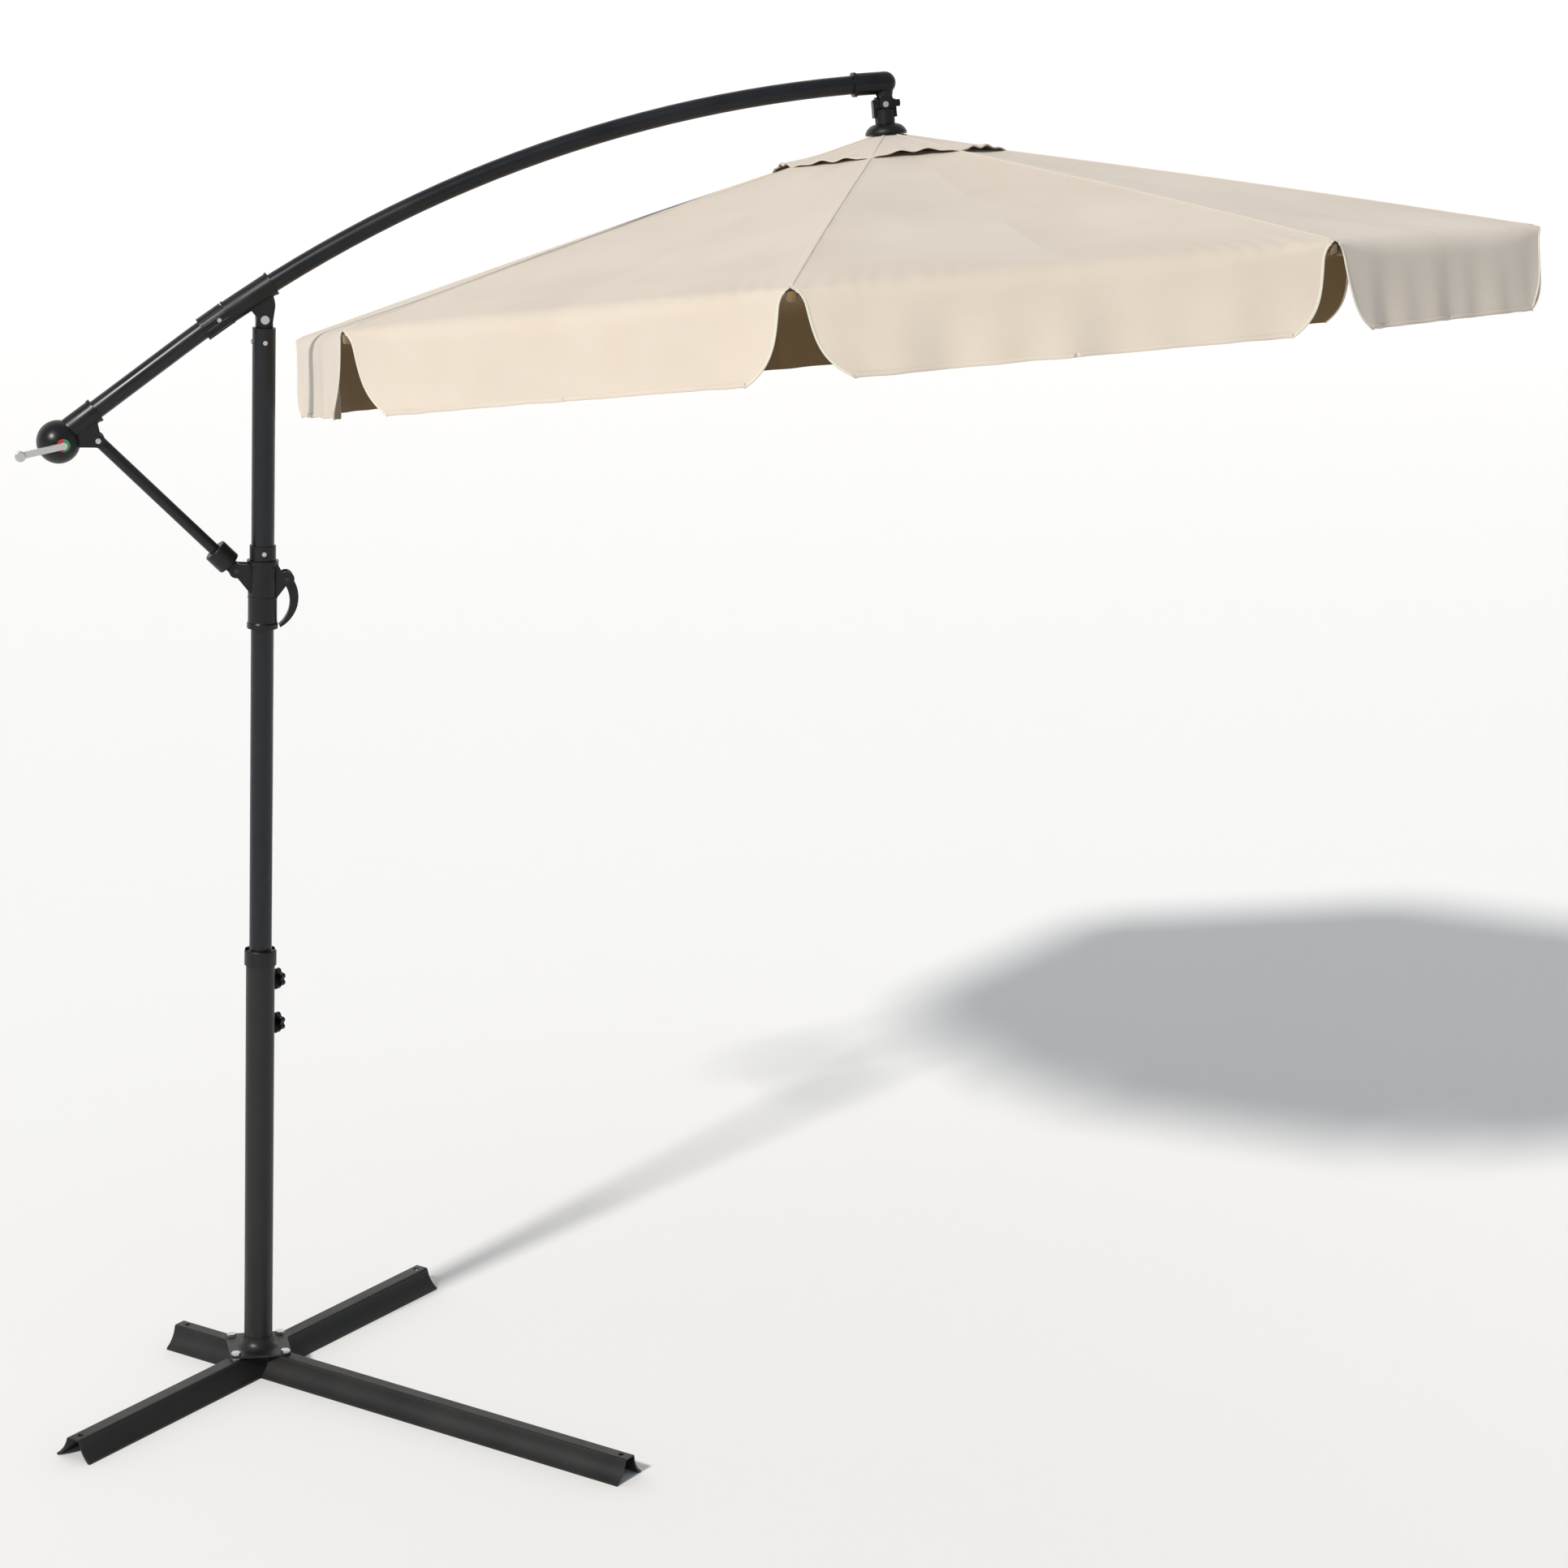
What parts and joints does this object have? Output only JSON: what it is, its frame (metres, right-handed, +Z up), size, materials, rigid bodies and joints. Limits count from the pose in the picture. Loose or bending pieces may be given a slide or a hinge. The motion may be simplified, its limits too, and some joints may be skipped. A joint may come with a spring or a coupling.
{
  "type": "cantilever parasol",
  "caption": "Side-post parasol: an octagonal canopy with valance hangs from a curved arm on a swivelling mast with a steel ground cross.",
  "frame": {"origin": "on the ground, on the mast's axis, at the middle of the ground cross", "axes": "+Z up along the mast, +X from the mast towards the canopy, +Y away from the side that shows the crank"},
  "size_m": [2.7787, 2.2267, 2.552],
  "materials": {
    "powder_black": "satin powder coat",
    "powder_base": "fine-textured powder coat",
    "plastic_black": "fine-grained moulding",
    "zinc_steel": "zinc plate",
    "steel_inside": "satin powder coat",
    "dial_plastic": "gloss",
    "canopy_cloth": "woven polyester, matt"
  },
  "bodies": {
    "base": {"long_beam": "powder_base", "cross_beam": "powder_base", "tie_plate": "powder_base", "foot_plate": "powder_base", "foot_bolts": "zinc_steel", "lower_tube": "powder_base", "tube_collar": "plastic_black"},
    "upper_knob_body": {"upper_knob": "plastic_black"},
    "lower_knob_body": {"lower_knob": "plastic_black"},
    "mast": {"mast_tube": "powder_black", "stop_ring": "plastic_black", "mast_cap": "plastic_black", "mast_screws": "zinc_steel", "pivot_bolt": "zinc_steel"},
    "arm": {"pivot_bracket": "plastic_black", "arm_clamp": "plastic_black", "lower_arm": "powder_black", "upper_arm": "powder_black", "crank_housing": "plastic_black", "arm_screws": "zinc_steel", "elbow": "plastic_black"},
    "strut": {"strut_tube": "powder_black", "strut_socket": "plastic_black"},
    "collar": {"slide_collar": "plastic_black", "collar_pins": "steel_inside"},
    "lever": {"lock_lever": "plastic_black"},
    "crank": {"crank_handle": "zinc_steel", "crank_dial": "dial_plastic"},
    "knuckle": {"tilt_knuckle": "plastic_black"},
    "knob": {"tilt_knob": "plastic_black"},
    "hub": {"hub_stem": "plastic_black", "dome_cap": "plastic_black", "crown": "plastic_black", "canopy_pole": "steel_inside", "vent_cap": "canopy_cloth"},
    "runner_body": {"runner": "plastic_black"},
    "rib_1_body": {"rib_1": "steel_inside", "canopy_panel_1": "canopy_cloth"},
    "stay_1_body": {"stay_1": "steel_inside"},
    "rib_2_body": {"rib_2": "steel_inside", "canopy_panel_2": "canopy_cloth"},
    "stay_2_body": {"stay_2": "steel_inside"},
    "rib_3_body": {"rib_3": "steel_inside", "canopy_panel_3": "canopy_cloth"},
    "stay_3_body": {"stay_3": "steel_inside"},
    "rib_4_body": {"rib_4": "steel_inside", "canopy_panel_4": "canopy_cloth"},
    "stay_4_body": {"stay_4": "steel_inside"},
    "rib_5_body": {"rib_5": "steel_inside", "canopy_panel_5": "canopy_cloth"},
    "stay_5_body": {"stay_5": "steel_inside"},
    "rib_6_body": {"rib_6": "steel_inside", "canopy_panel_6": "canopy_cloth"},
    "stay_6_body": {"stay_6": "steel_inside"},
    "rib_7_body": {"rib_7": "steel_inside", "canopy_panel_7": "canopy_cloth"},
    "stay_7_body": {"stay_7": "steel_inside"},
    "rib_8_body": {"rib_8": "steel_inside", "canopy_panel_8": "canopy_cloth"},
    "stay_8_body": {"stay_8": "steel_inside"}
  },
  "joints": [
    {"name": "mast_swivel", "type": "hinge", "parent": "base", "child": "mast", "pos_m": [0, 0, 0.6], "axis": [0, 0, 1], "continuous": true},
    {"name": "upper_knob_spin", "type": "hinge", "parent": "base", "child": "upper_knob_body", "pos_m": [0.02899, 0.02899, 0.793], "axis": [0.7071, 0.7071, 0], "continuous": true},
    {"name": "lower_knob_spin", "type": "hinge", "parent": "base", "child": "lower_knob_body", "pos_m": [0.02899, 0.02899, 0.704], "axis": [0.7071, 0.7071, 0], "continuous": true},
    {"name": "arm_pivot", "type": "hinge", "parent": "mast", "child": "arm", "pos_m": [0, 0, 2.073], "axis": [0, -1, 0], "range_deg": [0, 30]},
    {"name": "strut_hinge", "type": "hinge", "parent": "arm", "child": "strut", "pos_m": [-0.303, 0, 1.848], "axis": [0, 1, 0], "range_deg": [0, 60.02]},
    {"name": "collar_hinge", "type": "hinge", "parent": "strut", "child": "collar", "pos_m": [-0.05, 0, 1.604], "axis": [0, -1, 0], "range_deg": [0, 30.02]},
    {"name": "lever_hinge", "type": "hinge", "parent": "collar", "child": "lever", "pos_m": [0.044, 0, 1.588], "axis": [0, -1, 0], "range_deg": [0, 25], "stiffness_Nm_per_rad": 0.4},
    {"name": "canopy_swing", "type": "hinge", "parent": "arm", "child": "knuckle", "pos_m": [1.163, 0, 2.492], "axis": [0, 1, 0], "range_deg": [-5, 25]},
    {"name": "tilt_knob_spin", "type": "hinge", "parent": "knuckle", "child": "knob", "pos_m": [1.18589, 0, 2.49422], "axis": [0.9953, 0, 0.0964], "continuous": true},
    {"name": "canopy_tilt", "type": "hinge", "parent": "knuckle", "child": "hub", "pos_m": [1.163, 0, 2.492], "axis": [0.9953, 0, 0.0964], "range_deg": [-11, 28]},
    {"name": "runner_slide", "type": "slide", "parent": "hub", "child": "runner_body", "axis": [0.0953, -0.148, -0.9844], "range_m": [0, 0.5565]},
    {"name": "rib_1_fold", "type": "hinge", "parent": "hub", "child": "rib_1_body", "pos_m": [1.20001, 0.00044, 2.41831], "axis": [-0.3545, 0.919, -0.1725], "range_deg": [0, 66.7], "deforming": ["canopy_panel_1"]},
    {"name": "stay_1_hinge", "type": "hinge", "parent": "rib_1_body", "child": "stay_1_body", "pos_m": [1.58749, 0.13183, 2.32211], "axis": [0.3545, -0.919, 0.1725], "range_deg": [0, 124.07]},
    {"name": "rib_2_fold", "type": "hinge", "parent": "hub", "child": "rib_2_body", "pos_m": [1.18327, 0.01782, 2.41408], "axis": [-0.9084, 0.3915, -0.1468], "range_deg": [0, 67.2], "deforming": ["canopy_panel_2"]},
    {"name": "stay_2_hinge", "type": "hinge", "parent": "rib_2_body", "child": "stay_2_body", "pos_m": [1.35887, 0.36908, 2.2643], "axis": [0.9084, -0.3915, 0.1468], "range_deg": [0, 124.07]},
    {"name": "rib_3_fold", "type": "hinge", "parent": "hub", "child": "rib_3_body", "pos_m": [1.1589, 0.01816, 2.41167], "axis": [-0.9302, -0.3654, -0.0351], "range_deg": [0, 67.2], "deforming": ["canopy_panel_3"]},
    {"name": "stay_3_hinge", "type": "hinge", "parent": "rib_3_body", "child": "stay_3_body", "pos_m": [1.02602, 0.37381, 2.23136], "axis": [0.9302, 0.3654, 0.0351], "range_deg": [0, 124.07]},
    {"name": "rib_4_fold", "type": "hinge", "parent": "hub", "child": "rib_4_body", "pos_m": [1.14118, 0.00128, 2.41249], "axis": [-0.4071, -0.9082, 0.0971], "range_deg": [0, 67.2], "deforming": ["canopy_panel_4"]},
    {"name": "stay_4_hinge", "type": "hinge", "parent": "rib_4_body", "child": "stay_4_body", "pos_m": [0.78392, 0.14325, 2.24258], "axis": [0.4071, 0.9082, -0.0971], "range_deg": [0, 124.07]},
    {"name": "rib_5_fold", "type": "hinge", "parent": "hub", "child": "rib_5_body", "pos_m": [1.14048, -0.02294, 2.41606], "axis": [0.3545, -0.919, 0.1725], "range_deg": [0, 67.2], "deforming": ["canopy_panel_5"]},
    {"name": "stay_5_hinge", "type": "hinge", "parent": "rib_5_body", "child": "stay_5_body", "pos_m": [0.77439, -0.18754, 2.29139], "axis": [-0.3545, 0.919, -0.1725], "range_deg": [0, 124.07]},
    {"name": "rib_6_fold", "type": "hinge", "parent": "hub", "child": "rib_6_body", "pos_m": [1.15722, -0.04031, 2.42029], "axis": [0.9084, -0.3915, 0.1468], "range_deg": [0, 67.2], "deforming": ["canopy_panel_6"]},
    {"name": "stay_6_hinge", "type": "hinge", "parent": "rib_6_body", "child": "stay_6_body", "pos_m": [1.00301, -0.42479, 2.34919], "axis": [-0.9084, 0.3915, -0.1468], "range_deg": [0, 124.07]},
    {"name": "rib_7_fold", "type": "hinge", "parent": "hub", "child": "rib_7_body", "pos_m": [1.18159, -0.04066, 2.42271], "axis": [0.9302, 0.3654, 0.0351], "range_deg": [0, 67.2], "deforming": ["canopy_panel_7"]},
    {"name": "stay_7_hinge", "type": "hinge", "parent": "rib_7_body", "child": "stay_7_body", "pos_m": [1.33586, -0.42951, 2.38214], "axis": [-0.9302, -0.3654, -0.0351], "range_deg": [0, 124.07]},
    {"name": "rib_8_fold", "type": "hinge", "parent": "hub", "child": "rib_8_body", "pos_m": [1.19931, -0.02378, 2.42189], "axis": [0.4071, 0.9082, -0.0971], "range_deg": [0, 67.2], "deforming": ["canopy_panel_8"]},
    {"name": "stay_8_hinge", "type": "hinge", "parent": "rib_8_body", "child": "stay_8_body", "pos_m": [1.57796, -0.19895, 2.37092], "axis": [-0.4071, -0.9082, 0.0971], "range_deg": [0, 124.07]},
    {"name": "crank_spin", "type": "hinge", "parent": "arm", "child": "crank", "pos_m": [-0.367, -0.045, 1.844], "axis": [0, 1, 0], "range_deg": [0, 2006]}
  ],
  "couplings": [
    {"joint": "strut_hinge", "follows": "arm_pivot", "ratio": 1.9841},
    {"joint": "collar_hinge", "follows": "arm_pivot", "ratio": 0.98414},
    {"joint": "runner_slide", "follows": "rib_1_fold", "m_per_rad": 0.47634},
    {"joint": "stay_1_hinge", "follows": "rib_1_fold", "ratio": 1.8527},
    {"joint": "rib_2_fold", "follows": "rib_1_fold", "ratio": 1},
    {"joint": "stay_2_hinge", "follows": "rib_1_fold", "ratio": 1.8527},
    {"joint": "rib_3_fold", "follows": "rib_1_fold", "ratio": 1},
    {"joint": "stay_3_hinge", "follows": "rib_1_fold", "ratio": 1.8527},
    {"joint": "rib_4_fold", "follows": "rib_1_fold", "ratio": 1},
    {"joint": "stay_4_hinge", "follows": "rib_1_fold", "ratio": 1.8527},
    {"joint": "rib_5_fold", "follows": "rib_1_fold", "ratio": 1},
    {"joint": "stay_5_hinge", "follows": "rib_1_fold", "ratio": 1.8527},
    {"joint": "rib_6_fold", "follows": "rib_1_fold", "ratio": 1},
    {"joint": "stay_6_hinge", "follows": "rib_1_fold", "ratio": 1.8527},
    {"joint": "rib_7_fold", "follows": "rib_1_fold", "ratio": 1},
    {"joint": "stay_7_hinge", "follows": "rib_1_fold", "ratio": 1.8527},
    {"joint": "rib_8_fold", "follows": "rib_1_fold", "ratio": 1},
    {"joint": "stay_8_hinge", "follows": "rib_1_fold", "ratio": 1.8527},
    {"joint": "crank_spin", "follows": "rib_1_fold", "ratio": 30}
  ]
}
